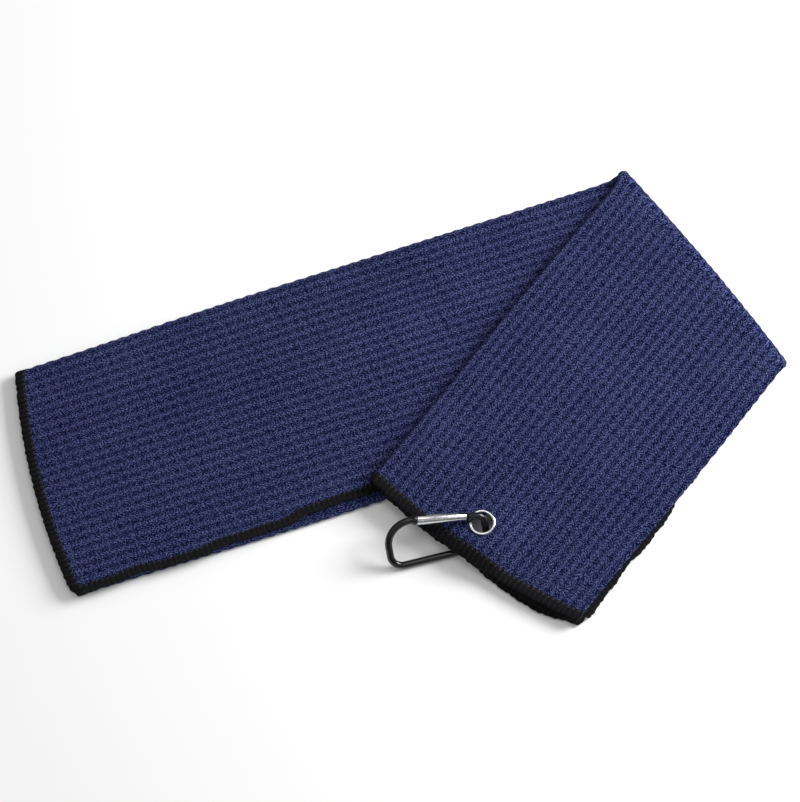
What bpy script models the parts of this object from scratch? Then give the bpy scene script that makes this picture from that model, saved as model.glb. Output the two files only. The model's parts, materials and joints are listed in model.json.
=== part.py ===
"""Golf towel with an eyelet and a spring clip.

One rectangle of waffle cloth is folded in three along its length, so that it makes a strip of three
layers, and the strip is folded once across on a slant.  An eyelet goes through the three layers near
one end, and a clip hangs in it.  Metres, +Z up, lying on the plane Z = 0.

Each piece of cloth is laid out on the strip, with `along` running from the crease towards the eyelet
end, `across` running from the strip's far side (-) to its near side (+), and `height` through the
layers of the lower leg.  `fold_up` then bends the strip at the crease and drapes its upper leg.
"""
import math

import bmesh
import bpy
import numpy as np
from mathutils import Matrix, Vector

# Cloth and how it is folded
STRIP_WIDTH = 0.1395
STRIP_SWELL = 0.035
LOWER_LENGTH = 0.4015
UPPER_LENGTH = 0.2252
CLOTH = 0.002
LAYER_GAP = 0.0003
PIECE_GAP = 0.0004
LOWER_HEADING = math.radians(19.3)
CREASE_HEADING = math.radians(125.5)
END_BOW = 0.006
CORNER_ROUND = 0.003
LOWER_END_SKEW = 0.0035
UPPER_END_SKEW = 0.0036
INNER_FLAP_SHORT = 0.0104
FLAP_STEP_BACK = 0.007
FLAP_OVERHANG = 0.0022
OUTER_FLAP_FAN = 0.0034
INNER_FLAP_FAN = 0.0018

# Hems: the width that the thread covers, and how thin its outer edge is
PLAIN_HEM = 0.0056
EYELET_HEM = 0.007
SIDE_HEM = 0.005
HEM_ROUND = 0.0012
HEM_EDGE = 0.45

# Drape of the upper leg
DROOP_RUN = 0.064
PINCH = 0.34
PINCH_REACH = 0.0185
LIFT_REACH = 0.0185

# Eyelet
EYELET_ALONG = 0.2046
EYELET_ACROSS = 0.0044
EYELET_CLEARANCE = 0.0002
EYELET_RIM = 0.0017
EYELET_MARGIN = 0.0006
EYELET_WALL = 0.00035
FLANGE_THICK = 0.0004
ROLL_WIDTH = 0.0011

# Clip, laid out in its own plane: x along its straight back, y from the back towards the gate
WIRE = 0.004
CLIP_TILT = math.radians(48.5)
CLIP_HEADING = math.radians(14.3)
CLIP_OFFSET = (0.0014, -0.0005)
CLIP_LEFT = -0.0055
CLIP_RIGHT = 0.0489
GATE_HEIGHT_AT_LATCH = 0.0261
GATE_SLOPE = math.radians(10.9)
CORNER_BACK_LEFT = 0.007
CORNER_LATCH = 0.01346
CORNER_HINGE = 0.0046
CORNER_BACK_RIGHT = 0.008
CROSSING_HEIGHT = 0.0136

# Gate and its works
GATE_LENGTH = 0.0275
GATE_DIAMETER_LATCH = 0.0058
GATE_DIAMETER_HINGE = 0.0046
HINGE_INSET = 0.0022
LATCH_INSET = 0.0026
TONGUE_THICK = 0.0018
TONGUE_ROUND = 0.0017
RUNNING_GAP = 0.0003
PIN_DIAMETER = 0.0014
CAM_OFFSET = 0.0006
PLUNGER_DIAMETER = 0.002
PLUNGER_LENGTH = 0.0032
SPRING_DIAMETER = 0.002
SPRING_WIRE = 0.00035
SPRING_LENGTH = 0.0052
SPRING_TURNS = 7
SPRING_SLACK = 0.0006
HOOK_REACH = 0.0012

HALF = STRIP_WIDTH / 2
PITCH = CLOTH + LAYER_GAP
STACK = 3 * CLOTH + 2 * LAYER_GAP
CREASE_HEIGHT = STACK + LAYER_GAP / 2
BEND_LENGTH = math.pi * (CREASE_HEIGHT - STACK / 2)
BEND_START = -BEND_LENGTH / 2
FOLD_TIP = BEND_START + CREASE_HEIGHT
UPPER_MIDDLE = 2 * CREASE_HEIGHT - STACK / 2
CREASE_SWELL = 1 + STRIP_SWELL
LOWER_EDGE = HALF * CREASE_SWELL
EYELET_HEIGHT = WIRE / 2 + CROSSING_HEIGHT * math.sin(CLIP_TILT)
EYELET_SEAT = PINCH * STACK / 2 + PIECE_GAP
EYELET_DEPTH = EYELET_SEAT + 2 * FLANGE_THICK + PIECE_GAP

# The bore lets the slanting wire through, and the cloth is flat in a square around the flange
BORE = EYELET_DEPTH / math.tan(CLIP_TILT) + WIRE / 2 / math.sin(CLIP_TILT)
BORE = BORE + abs(CLIP_OFFSET[1]) + EYELET_CLEARANCE
FLANGE = BORE + EYELET_RIM
FLAT_SIDE = FLANGE + EYELET_MARGIN
FLAT_CORNER = FLAT_SIDE * math.sqrt(2)

# Plan directions: along the lower leg, across it, along the crease and out past the crease
ALONG = np.array([math.cos(LOWER_HEADING), math.sin(LOWER_HEADING)])
ACROSS = np.array([-ALONG[1], ALONG[0]])
CREASE = np.array([math.cos(CREASE_HEADING), math.sin(CREASE_HEADING)])
OUTWARD = np.array([CREASE[1], -CREASE[0]])


def smooth(value, low, high):
    """0 below low and 1 above high, with an S-shaped rise between."""
    t = np.clip((value - low) / (high - low), 0.0, 1.0)
    return t * t * (3 - 2 * t)


# ---------------------------------------------------------------- folding the strip

def plan_of(along, across):
    """Where a point of the strip lies from the crease: (past the crease, along the crease)."""
    x = along * ALONG[0] + across * ACROSS[0]
    y = along * ALONG[1] + across * ACROSS[1]
    return x * OUTWARD[0] + y * OUTWARD[1], x * CREASE[0] + y * CREASE[1]


def along_at(past_crease, across):
    """The `along` of the point that lies past_crease beyond the crease, on the line `across`."""
    return (past_crease - across * (ACROSS @ OUTWARD)) / (ALONG @ OUTWARD)


def fold_up(along, across, height):
    """World place of points of the flat strip: an arc at the crease, and mirrored beyond it."""
    past, down = plan_of(along, across)
    turn = np.clip((past - BEND_START) / BEND_LENGTH, 0.0, 1.0) * math.pi
    radius = CREASE_HEIGHT - height
    place = np.where(past < BEND_START, past, BEND_START + radius * np.sin(turn))
    place = np.where(past > BEND_START + BEND_LENGTH, -past, place)
    x = place * OUTWARD[0] + down * CREASE[0]
    y = place * OUTWARD[1] + down * CREASE[1]
    return x, y, CREASE_HEIGHT - radius * np.cos(turn)


def eyelet_centre():
    x, y, _ = fold_up(np.array(EYELET_ALONG), np.array(EYELET_ACROSS), np.array(0.0))
    return Vector((float(x), float(y), EYELET_HEIGHT))


def drape(x, y, z):
    """The upper leg comes down to the ground past the lower leg, and rises to the eyelet."""
    beside = -(x * ACROSS[0] + y * ACROSS[1])
    behind = -(x * OUTWARD[0] + y * OUTWARD[1])
    droop = STACK * smooth(beside, LOWER_EDGE, LOWER_EDGE + DROOP_RUN)
    droop = droop * smooth(behind, 0.005, 0.070)
    eyelet = eyelet_centre()
    distance = np.hypot(x - eyelet.x, y - eyelet.y)
    lift = 1 - smooth(distance, FLAT_CORNER, FLAT_CORNER + LIFT_REACH)
    middle = (UPPER_MIDDLE - droop) * (1 - lift) + EYELET_HEIGHT * lift
    pinch = PINCH + (1 - PINCH) * smooth(distance, FLAT_CORNER, FLAT_CORNER + PINCH_REACH)
    return middle + (z - UPPER_MIDDLE) * pinch


# ---------------------------------------------------------------- outlines of the strip

def swell(along):
    """How much wider the strip is than at its hemmed ends, which draw it in."""
    from_plain_end = smooth(along, -0.400, -0.240)
    return 1 + STRIP_SWELL * from_plain_end * (1 - smooth(along, 0.060, 0.210))


def plain_end(across):
    """`along` of the plain end: bowed outwards, a little out of square, one corner rounded."""
    part = across / HALF
    rounding = CORNER_ROUND * smooth(-part, 0.90, 1.0)
    return -LOWER_LENGTH + END_BOW * part ** 2 + LOWER_END_SKEW * part + rounding


def eyelet_end(across, fan):
    """`along` of the eyelet end: the layers below fan out past the top one on the far side."""
    part = across / HALF
    spread = fan * smooth(-part, 0.0, 0.7) * (1 - 0.9 * smooth(-part, 0.7, 1.0))
    return UPPER_LENGTH - END_BOW * part ** 2 + UPPER_END_SKEW * part + spread


def outer_flap_edge(along):
    """`across` of the outer flap's free edge, which wanders past the fold under it."""
    back = FLAP_STEP_BACK * smooth(along, -0.350, -0.190)
    out = (FLAP_STEP_BACK + FLAP_OVERHANG) * smooth(along, 0.0, 0.180)
    return -HALF + back - out


def inner_flap_edge(along):
    return HALF - INNER_FLAP_SHORT + 0 * along


def line(across, height, facing, fan):
    """Lines that run along the strip: across, height, the outer face's normal and the fan."""
    across = np.atleast_1d(np.asarray(across, float))
    table = np.zeros((len(across), 5))
    table[:, 0] = across
    table[:, 1] = height
    table[:, 3] = facing
    table[:, 4] = fan
    return table


def side_fold(centre, middle, radius, side, fans):
    """Lines of a half round at one side of the strip; side is +1 or -1."""
    turn = np.linspace(0, math.pi, 6)
    table = np.zeros((len(turn), 5))
    table[:, 2] = side * np.sin(turn)
    table[:, 3] = side * np.cos(turn)
    table[:, 0] = centre + radius * table[:, 2]
    table[:, 1] = middle + radius * table[:, 3]
    table[:, 4] = fans[0] + (fans[1] - fans[0]) * turn / math.pi
    return table


NEAR_FOLD = HALF - PITCH - CLOTH / 2
FAR_FOLD = -HALF + PITCH / 2 + CLOTH / 2
OUTER_HEIGHT = 2 * PITCH + CLOTH / 2
INNER_HEIGHT = PITCH + CLOTH / 2
BASE_HEIGHT = CLOTH / 2
MESH_LINES = np.linspace(-HALF + 0.0145, HALF - 0.018, 11)
NEAR_EYELET = EYELET_ACROSS + np.array([-FLAT_SIDE, FLAT_SIDE])
CLEAR_LINES = MESH_LINES[np.abs(MESH_LINES - EYELET_ACROSS) > FLAT_SIDE - 0.001]
CLOTH_LINES = np.sort(np.concatenate([CLEAR_LINES, NEAR_EYELET]))


def outer_flap_lines(along):
    edge = outer_flap_edge(along) + SIDE_HEM + PIECE_GAP
    ends = np.concatenate([[edge], CLOTH_LINES, [NEAR_FOLD - PIECE_GAP]])
    return line(ends, OUTER_HEIGHT, 1, OUTER_FLAP_FAN)


def inner_flap_lines(along):
    edge = inner_flap_edge(along) - SIDE_HEM - PIECE_GAP
    ends = np.concatenate([[FAR_FOLD + PIECE_GAP], CLOTH_LINES, [edge]])
    return line(ends, INNER_HEIGHT, 1, INNER_FLAP_FAN)


def base_lines(along):
    near = side_fold(NEAR_FOLD, (OUTER_HEIGHT + BASE_HEIGHT) / 2, PITCH, 1, (OUTER_FLAP_FAN, 0))
    flat = line(CLOTH_LINES[::-1], BASE_HEIGHT, -1, 0)
    far = side_fold(FAR_FOLD, (INNER_HEIGHT + BASE_HEIGHT) / 2, PITCH / 2, -1, (0, INNER_FLAP_FAN))
    return np.concatenate([near, flat, far])


def outer_hem_lines(along):
    edge = outer_flap_edge(along)
    return line([edge, edge + HEM_ROUND, edge + SIDE_HEM], OUTER_HEIGHT, 1, OUTER_FLAP_FAN)


def inner_hem_lines(along):
    edge = inner_flap_edge(along)
    return line([edge - SIDE_HEM, edge - HEM_ROUND, edge], INNER_HEIGHT, 1, INNER_FLAP_FAN)


def end_hem_lines(along):
    """The whole folded width, from the outer flap's side hem to the inner flap's."""
    return np.concatenate([outer_flap_lines(along), base_lines(along), inner_flap_lines(along)])


# ---------------------------------------------------------------- making solids

def new_object(name, mesh, material, parent):
    thing = bpy.data.objects.new(name, mesh)
    parts.objects.link(thing)
    thing.parent = parent
    mesh.materials.clear()
    mesh.materials.append(material)
    return thing


def mesh_from(name, points, faces):
    mesh = bpy.data.meshes.new(name)
    mesh.from_pydata([tuple(p) for p in points], [], faces)
    form = bmesh.new()
    form.from_mesh(mesh)
    bmesh.ops.recalc_face_normals(form, faces=form.faces)
    form.to_mesh(mesh)
    form.free()
    return mesh


def sheet_faces(rows, lines, flips):
    """Triangles of a slab: two grids of rows x lines and the walls between their borders."""
    faces = []
    size = rows * lines

    def quad(a, b, c, d, flip):
        if flip:
            faces.extend([(a, b, d), (b, c, d)])
        else:
            faces.extend([(a, b, c), (a, c, d)])

    for row in range(rows - 1):
        for at in range(lines - 1):
            a = row * lines + at
            corners = (a, a + 1, a + lines + 1, a + lines)
            quad(*corners, flips[at])
            quad(*[size + k for k in corners], flips[at])
    border = [k for k in range(lines)]
    border += [row * lines + lines - 1 for row in range(1, rows)]
    border += [(rows - 1) * lines + k for k in range(lines - 2, -1, -1)]
    border += [row * lines for row in range(rows - 2, 0, -1)]
    for a, b in zip(border, border[1:] + border[:1]):
        quad(a, b, size + b, size + a, False)
    return faces


def cloth(name, leg, lines_at, stations, material, line_thin=None, row_thin=None):
    """A slab of cloth or hem: lines_at gives its lines, stations give `along` on each line."""
    outer = []
    inner = []
    for row, station in enumerate(stations):
        lines = lines_at(float(station(np.array([-HALF]), np.array([0.0]))[0]))
        across, height, side, up, fan = lines.T
        along = station(across, fan)
        half = np.full(len(across), CLOTH / 2)
        if line_thin is not None:
            half = half * line_thin
        if row_thin is not None:
            half = half * row_thin[row]
        for sign, grid in ((1, outer), (-1, inner)):
            wide = (across + sign * side * half) * swell(along)
            x, y, z = fold_up(along, wide, height + sign * up * half)
            if leg == "lower":
                z = np.minimum(z, CREASE_HEIGHT - LAYER_GAP / 2)
            else:
                z = np.maximum(z, CREASE_HEIGHT + LAYER_GAP / 2)
                z = drape(x, y, z)
            grid.append(np.stack([x, y, z], axis=1))
    points = np.concatenate([np.concatenate(outer), np.concatenate(inner)])
    parent = lower_parent if leg == "lower" else upper_parent
    points = points - np.array(offset_of[leg])
    flips = [lines[k + 1, 0] < lines[k, 0] for k in range(len(lines) - 1)]
    mesh = mesh_from(name, points, sheet_faces(len(stations), len(lines), flips))
    return new_object(name, mesh, material, parent)


def finish(name, colour, roughness, metallic=0.0):
    material = bpy.data.materials.new(name)
    material.use_nodes = True
    shader = material.node_tree.nodes["Principled BSDF"]
    shader.inputs["Base Color"].default_value = (*colour, 1)
    shader.inputs["Roughness"].default_value = roughness
    shader.inputs["Metallic"].default_value = metallic
    material.diffuse_color = (*colour, 1)
    return material


def empty(name, parent, matrix):
    thing = bpy.data.objects.new(name, None)
    parts.objects.link(thing)
    thing.parent = parent
    thing.matrix_basis = matrix
    thing.empty_display_size = 0.01
    return thing


def smooth_shade(mesh, angle=40):
    mesh.shade_smooth()
    mesh.set_sharp_from_angle(angle=math.radians(angle))


def turned(name, profile, steps, material, parent, matrix):
    """A closed outline of (radius, height), listed down its outer side, turned about Z."""
    mesh = bpy.data.meshes.new(name)
    count = len(profile)
    edges = [(k, (k + 1) % count) for k in range(count)]
    mesh.from_pydata([(r, 0, z) for r, z in profile], edges, [])
    thing = new_object(name, mesh, material, parent)
    thing.matrix_basis = matrix
    screw = thing.modifiers.new("turn", "SCREW")
    screw.axis = "Z"
    screw.steps = steps
    screw.render_steps = steps
    screw.use_merge_vertices = True
    screw.merge_threshold = 0.00001
    screw.use_normal_calculate = True
    return thing


def rod(name, start, end, start_diameter, end_diameter, sides=16):
    """A round bar from start to end, as a bmesh cone."""
    start, end = Vector(start), Vector(end)
    axis = end - start
    turn = axis.to_track_quat("Z", "Y").to_matrix().to_4x4()
    matrix = Matrix.Translation((start + end) / 2) @ turn
    mesh = bpy.data.meshes.new(name)
    form = bmesh.new()
    bmesh.ops.create_cone(form, cap_ends=True, segments=sides, radius1=start_diameter / 2,
                          radius2=end_diameter / 2, depth=axis.length, matrix=matrix)
    form.to_mesh(mesh)
    form.free()
    return mesh


def block(name, low, high):
    """A box between two corners."""
    low, high = Vector(low), Vector(high)
    mesh = bpy.data.meshes.new(name)
    form = bmesh.new()
    size = high - low
    matrix = Matrix.Translation((low + high) / 2) @ Matrix.Diagonal((*size, 1))
    bmesh.ops.create_cube(form, size=1, matrix=matrix)
    form.to_mesh(mesh)
    form.free()
    return mesh


def plate(name, outline, thickness):
    """A flat outline in the clip's plane, thickness deep and centred on it."""
    curve = bpy.data.curves.new(name, "CURVE")
    curve.dimensions = "2D"
    curve.fill_mode = "BOTH"
    curve.extrude = thickness / 2
    spline = curve.splines.new("POLY")
    spline.points.add(len(outline) - 1)
    for point, (x, y) in zip(spline.points, outline):
        point.co = (x, y, 0, 1)
    spline.use_cyclic_u = True
    return mesh_of_curve(name, curve)


def tube(name, points, diameter, bevel_resolution):
    """A round wire through points."""
    curve = bpy.data.curves.new(name, "CURVE")
    curve.dimensions = "3D"
    curve.bevel_depth = diameter / 2
    curve.bevel_resolution = bevel_resolution
    curve.use_fill_caps = True
    spline = curve.splines.new("POLY")
    spline.points.add(len(points) - 1)
    for point, place in zip(spline.points, points):
        point.co = (*place, 1)
    return mesh_of_curve(name, curve)


def mesh_of_curve(name, curve):
    carrier = bpy.data.objects.new(name + "_curve", curve)
    parts.objects.link(carrier)
    graph = bpy.context.evaluated_depsgraph_get()
    mesh = bpy.data.meshes.new_from_object(carrier.evaluated_get(graph))
    bpy.data.objects.remove(carrier)
    form = bmesh.new()
    form.from_mesh(mesh)
    bmesh.ops.remove_doubles(form, verts=form.verts, dist=0.000001)
    bmesh.ops.recalc_face_normals(form, faces=form.faces)
    form.to_mesh(mesh)
    form.free()
    return mesh


def combine(thing, mesh, operation):
    """A live Boolean of thing with a cutter or filler that shares its parent and place."""
    tool = bpy.data.objects.new(f"{thing.name}_tool{len(thing.modifiers)}", mesh)
    cutters.objects.link(tool)
    tool.parent = thing.parent
    tool.matrix_basis = thing.matrix_basis
    tool.hide_render = True
    tool.display_type = "WIRE"
    change = thing.modifiers.new(operation.lower(), "BOOLEAN")
    change.operation = operation
    change.object = tool
    change.solver = "EXACT"
    return tool


# ---------------------------------------------------------------- scene and empties

for old in list(bpy.data.objects):
    bpy.data.objects.remove(old)
parts = bpy.data.collections.new("golf_towel")
cutters = bpy.data.collections.new("cutters")
bpy.context.scene.collection.children.link(parts)
bpy.context.scene.collection.children.link(cutters)

navy = finish("navy_waffle", (0.028, 0.032, 0.10), 0.95)
thread = finish("black_thread", (0.010, 0.010, 0.012), 0.85)
nickel = finish("nickel", (0.80, 0.80, 0.82), 0.18, 1.0)
black = finish("black_anodised", (0.012, 0.012, 0.013), 0.30, 0.6)
bright = finish("bright_aluminium", (0.85, 0.85, 0.87), 0.25, 1.0)
steel = finish("spring_steel", (0.55, 0.55, 0.56), 0.35, 1.0)

root = empty("towel_origin", None, Matrix.Identity(4))
fold_place = Vector((*(OUTWARD * FOLD_TIP), CREASE_HEIGHT))
fold_axis = empty("fold_axis", root, Matrix.Translation(fold_place))
eyelet_place = eyelet_centre()
eyelet_axis = empty("clip_axis", fold_axis, Matrix.Translation(eyelet_place - fold_place))
lower_parent = root
upper_parent = fold_axis
offset_of = {"lower": (0, 0, 0), "upper": tuple(fold_place)}


# ---------------------------------------------------------------- cloth and hems

def bend(fraction):
    """A line across the strip, the given fraction of the way round the crease."""
    return lambda across, fan: along_at(BEND_START + BEND_LENGTH * fraction, across * CREASE_SWELL)


def lower_station(fraction, inset):
    """A line between the plain end (0), inset from its edge, and the start of the crease (1)."""
    def station(across, fan):
        start = plain_end(across) + inset
        return start + (along_at(BEND_START, across * CREASE_SWELL) - start) * fraction
    return station


def upper_station(fraction, inset):
    """A line between the end of the crease (0) and the eyelet end (1), inset from its edge."""
    def station(across, fan):
        start = along_at(BEND_START + BEND_LENGTH, across * CREASE_SWELL)
        return start + (eyelet_end(across, fan) - inset - start) * fraction
    return station


eyelet_part = EYELET_ALONG / (UPPER_LENGTH - EYELET_HEM)
near_eyelet_part = FLAT_SIDE / UPPER_LENGTH
upper_parts = [k / 18 for k in range(19) if abs(k / 18 - eyelet_part) > 0.03]
upper_parts += [eyelet_part - near_eyelet_part, eyelet_part + near_eyelet_part]
LOWER_STATIONS = [lower_station(k / 12, PLAIN_HEM + PIECE_GAP) for k in range(13)]
LOWER_STATIONS += [bend(k / 10) for k in (1, 2, 3, 4, 5)]
UPPER_STATIONS = [bend(k / 10) for k in (5, 6, 7, 8, 9)]
UPPER_STATIONS += [upper_station(k, EYELET_HEM + PIECE_GAP) for k in sorted(upper_parts)]
LOWER_SIDE_STATIONS = [lower_station(0, 0), lower_station(0, PLAIN_HEM)] + LOWER_STATIONS[1:]
UPPER_SIDE_STATIONS = UPPER_STATIONS[:-1] + [upper_station(1, EYELET_HEM), upper_station(1, 0)]
PLAIN_END_STATIONS = [lower_station(0, 0), lower_station(0, HEM_ROUND), lower_station(0, PLAIN_HEM)]
EYELET_END_STATIONS = [upper_station(1, EYELET_HEM), upper_station(1, HEM_ROUND), upper_station(1, 0)]
EDGE_FIRST = [HEM_EDGE, 1, 1]
EDGE_LAST = [1, 1, HEM_EDGE]

upper_panels = []
for leg, stations in (("lower", LOWER_STATIONS), ("upper", UPPER_STATIONS)):
    for part, lines_at in (("base_panel", base_lines), ("inner_flap", inner_flap_lines),
                           ("outer_flap", outer_flap_lines)):
        panel = cloth(f"{leg}_{part}", leg, lines_at, stations, navy)
        if leg == "upper":
            upper_panels.append(panel)
for leg, stations in (("lower", LOWER_SIDE_STATIONS), ("upper", UPPER_SIDE_STATIONS)):
    cloth(f"{leg}_outer_flap_hem", leg, outer_hem_lines, stations, thread, line_thin=EDGE_FIRST)
    cloth(f"{leg}_inner_flap_hem", leg, inner_hem_lines, stations, thread, line_thin=EDGE_LAST)
cloth("plain_end_hem", "lower", end_hem_lines, PLAIN_END_STATIONS, thread, row_thin=EDGE_FIRST)
cloth("eyelet_end_hem", "upper", end_hem_lines, EYELET_END_STATIONS, thread, row_thin=EDGE_LAST)


# ---------------------------------------------------------------- eyelet

bore = BORE
flange = FLANGE
seat = EYELET_SEAT
barrel = bore + EYELET_WALL
here = Matrix.Translation(eyelet_place - fold_place)
washer_under = -seat - FLANGE_THICK
roll_top = washer_under - PIECE_GAP
roll_under = roll_top - FLANGE_THICK
half_flange = FLANGE_THICK / 2
eyelet_outline = [
    (bore + 0.0006, seat + FLANGE_THICK), (flange - 0.0005, seat + FLANGE_THICK),
    (flange, seat + half_flange), (flange - 0.0001, seat), (barrel, seat),
    (barrel, roll_top), (barrel + ROLL_WIDTH, roll_top), (barrel + ROLL_WIDTH, roll_top - half_flange),
    (barrel + ROLL_WIDTH - 0.0003, roll_under), (bore + 0.0004, roll_under), (bore, roll_under + 0.0004),
    (bore, seat), (bore + 0.00015, seat + 0.00025)]
eyelet = turned("eyelet", eyelet_outline, 32, nickel, fold_axis, here)
washer_outline = [
    (barrel + PIECE_GAP, -seat), (flange - 0.0002, -seat), (flange, -seat - half_flange),
    (flange - 0.0003, washer_under), (barrel + PIECE_GAP, washer_under)]
washer = turned("eyelet_washer", washer_outline, 32, nickel, fold_axis, here)

hole_top = eyelet_place + Vector((0, 0, 0.02)) - fold_place
hole_under = eyelet_place - Vector((0, 0, 0.02)) - fold_place
hole_diameter = 2 * (barrel + PIECE_GAP)
for panel in upper_panels:
    cutter = rod(panel.name + "_hole", hole_under, hole_top, hole_diameter, hole_diameter, 32)
    combine(panel, cutter, "DIFFERENCE")


# ---------------------------------------------------------------- clip

# The plane of the clip: its back lies on the ground and its far wire passes through the eyelet.
back = Vector((math.cos(CLIP_HEADING), math.sin(CLIP_HEADING), 0))
level = Vector((-back.y, back.x, 0))
rise = level * math.cos(CLIP_TILT) + Vector((0, 0, math.sin(CLIP_TILT)))
crossing = eyelet_place + back * CLIP_OFFSET[0] + level * CLIP_OFFSET[1]
clip_origin = crossing - back * CLIP_RIGHT - rise * CROSSING_HEIGHT
turn = Matrix((back, rise, back.cross(rise))).transposed().to_4x4()
clip_plane = empty("clip_plane", eyelet_axis, Matrix.Translation(clip_origin - eyelet_place) @ turn)


def arc(centre, radius, start, end, steps):
    """Points of an arc in the clip's plane, angles in radians."""
    turns = [start + (end - start) * k / steps for k in range(steps + 1)]
    return [(centre[0] + radius * math.cos(t), centre[1] + radius * math.sin(t)) for t in turns]


UP = math.pi / 2
gate_normal = UP - GATE_SLOPE
latch_centre = (CLIP_LEFT + CORNER_LATCH,
                GATE_HEIGHT_AT_LATCH - CORNER_LATCH * math.sin(gate_normal))
nose = Vector(arc(latch_centre, CORNER_LATCH, gate_normal, gate_normal, 1)[0])
gate_way = Vector((math.cos(GATE_SLOPE), -math.sin(GATE_SLOPE)))
gate_side = Vector((math.sin(GATE_SLOPE), math.cos(GATE_SLOPE)))
nub = 0.0014
gate_start = nose + gate_way * (nub + PIECE_GAP)
gate_end = gate_start + gate_way * GATE_LENGTH
pivot = gate_end - gate_way * HINGE_INSET
wire_end = pivot + gate_way * (math.hypot(HINGE_INSET, GATE_DIAMETER_HINGE / 2) + PIECE_GAP)
hinge_centre_x = CLIP_RIGHT - CORNER_HINGE
tangent = hinge_centre_x + CORNER_HINGE * math.cos(gate_normal)
hinge_centre_y = (nose.y - math.tan(GATE_SLOPE) * (tangent - nose.x)
                  - CORNER_HINGE * math.sin(gate_normal))
hinge_arc = arc((hinge_centre_x, hinge_centre_y), CORNER_HINGE, gate_normal, 0, 6)
right_arc = arc((CLIP_RIGHT - CORNER_BACK_RIGHT, CORNER_BACK_RIGHT), CORNER_BACK_RIGHT, 0, -UP, 6)
left_arc = arc((CLIP_LEFT + CORNER_BACK_LEFT, CORNER_BACK_LEFT), CORNER_BACK_LEFT, -UP, -2 * UP, 6)
latch_arc = arc(latch_centre, CORNER_LATCH, 2 * UP, gate_normal, 9)
centre_line = [(wire_end.x, wire_end.y)] + hinge_arc + right_arc + left_arc + latch_arc
frame_mesh = tube("clip_frame", [(x, y, 0) for x, y in centre_line], WIRE, 3)
frame = new_object("clip_frame", frame_mesh, black, clip_plane)


def in_plane(point, off=0.0):
    return Vector((point.x, point.y, off))


def along_gate(origin, way, side):
    """A point from origin, way along the gate towards its hinge and side towards its outside."""
    return origin + gate_way * way + gate_side * side


# Hinge tongue: a flat blade that reaches from the wire past the pivot, its end an offset round
cam = along_gate(pivot, 0, -CAM_OFFSET)
cam_turns = [gate_normal + math.pi * k / 8 for k in range(9)]
tongue = [(cam.x + TONGUE_ROUND * math.cos(t), cam.y + TONGUE_ROUND * math.sin(t)) for t in cam_turns]
root_point = wire_end + gate_way * WIRE * 0.3
tongue += [tuple(along_gate(root_point, 0, -TONGUE_ROUND)), tuple(along_gate(root_point, 0, TONGUE_ROUND))]
combine(frame, plate("hinge_tongue", tongue, TONGUE_THICK), "UNION")

# Latch nose: a collar as wide as the gate, and a hook that reaches over the latch pin
collar_start = nose - gate_way * 0.0008
collar_end = nose + gate_way * nub
combine(frame, rod("collar", in_plane(collar_start), in_plane(collar_end), WIRE + 0.0002,
                   GATE_DIAMETER_LATCH, 20), "UNION")
latch_pin_place = gate_start + gate_way * LATCH_INSET
reach = PIN_DIAMETER / 2 + RUNNING_GAP
hook_tip = LATCH_INSET + reach + HOOK_REACH
top = GATE_DIAMETER_LATCH / 2 - 0.0004
hook = [along_gate(gate_start, -0.001, -reach), along_gate(gate_start, -0.001, top),
        along_gate(gate_start, hook_tip, top), along_gate(gate_start, hook_tip, -reach),
        along_gate(gate_start, LATCH_INSET + reach, -reach),
        along_gate(gate_start, LATCH_INSET + reach, reach),
        along_gate(gate_start, LATCH_INSET - reach, reach),
        along_gate(gate_start, LATCH_INSET - reach, -reach)]
combine(frame, plate("hook", [tuple(p) for p in hook], TONGUE_THICK), "UNION")
pin_reach = GATE_DIAMETER_HINGE
pin_hole = PIN_DIAMETER + 2 * RUNNING_GAP
combine(frame, rod("pivot_hole", in_plane(pivot, -pin_reach), in_plane(pivot, pin_reach),
                   pin_hole, pin_hole), "DIFFERENCE")

# Gate: a tapered bar, slotted at both ends and bored from the hinge end
gate_axis = empty("gate_axis", clip_plane, Matrix.Translation(in_plane(pivot)))


def local(point, off=0.0):
    return in_plane(point, off) - in_plane(pivot)


def slot(start, end, width):
    """A box along the gate between two distances from its latch end, open above and below."""
    box = block("slot", (start, -0.006, -width / 2), (end, 0.006, width / 2))
    spin = Matrix.Rotation(-GATE_SLOPE, 4, "Z")
    box.transform(Matrix.Translation(local(gate_start)) @ spin)
    return box


gate_mesh = rod("gate", local(gate_start), local(gate_end), GATE_DIAMETER_LATCH,
                GATE_DIAMETER_HINGE, 20)
gate = new_object("gate", gate_mesh, bright, gate_axis)
slot_width = TONGUE_THICK + 2 * RUNNING_GAP
hinge_slot = HINGE_INSET + TONGUE_ROUND + RUNNING_GAP
combine(gate, slot(GATE_LENGTH - hinge_slot, GATE_LENGTH + 0.001, slot_width), "DIFFERENCE")
combine(gate, slot(-0.001, hook_tip + RUNNING_GAP, slot_width), "DIFFERENCE")
plunger_tip = GATE_LENGTH - hinge_slot
plunger_back = plunger_tip - PLUNGER_LENGTH
spring_front = plunger_back - SPRING_SLACK
spring_back = spring_front - SPRING_LENGTH
bore_back = spring_back - RUNNING_GAP
bore_diameter = SPRING_DIAMETER + 2 * RUNNING_GAP
bore_from = gate_start + gate_way * bore_back
bore_to = gate_start + gate_way * (plunger_tip + 0.0005)
combine(gate, rod("bore", local(bore_from), local(bore_to), bore_diameter, bore_diameter, 12),
        "DIFFERENCE")
for pin_place, pin_name in ((pivot, "hinge_pin_hole"), (latch_pin_place, "latch_pin_hole")):
    combine(gate, rod(pin_name, local(pin_place, -pin_reach), local(pin_place, pin_reach),
                      pin_hole, pin_hole), "DIFFERENCE")

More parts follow.
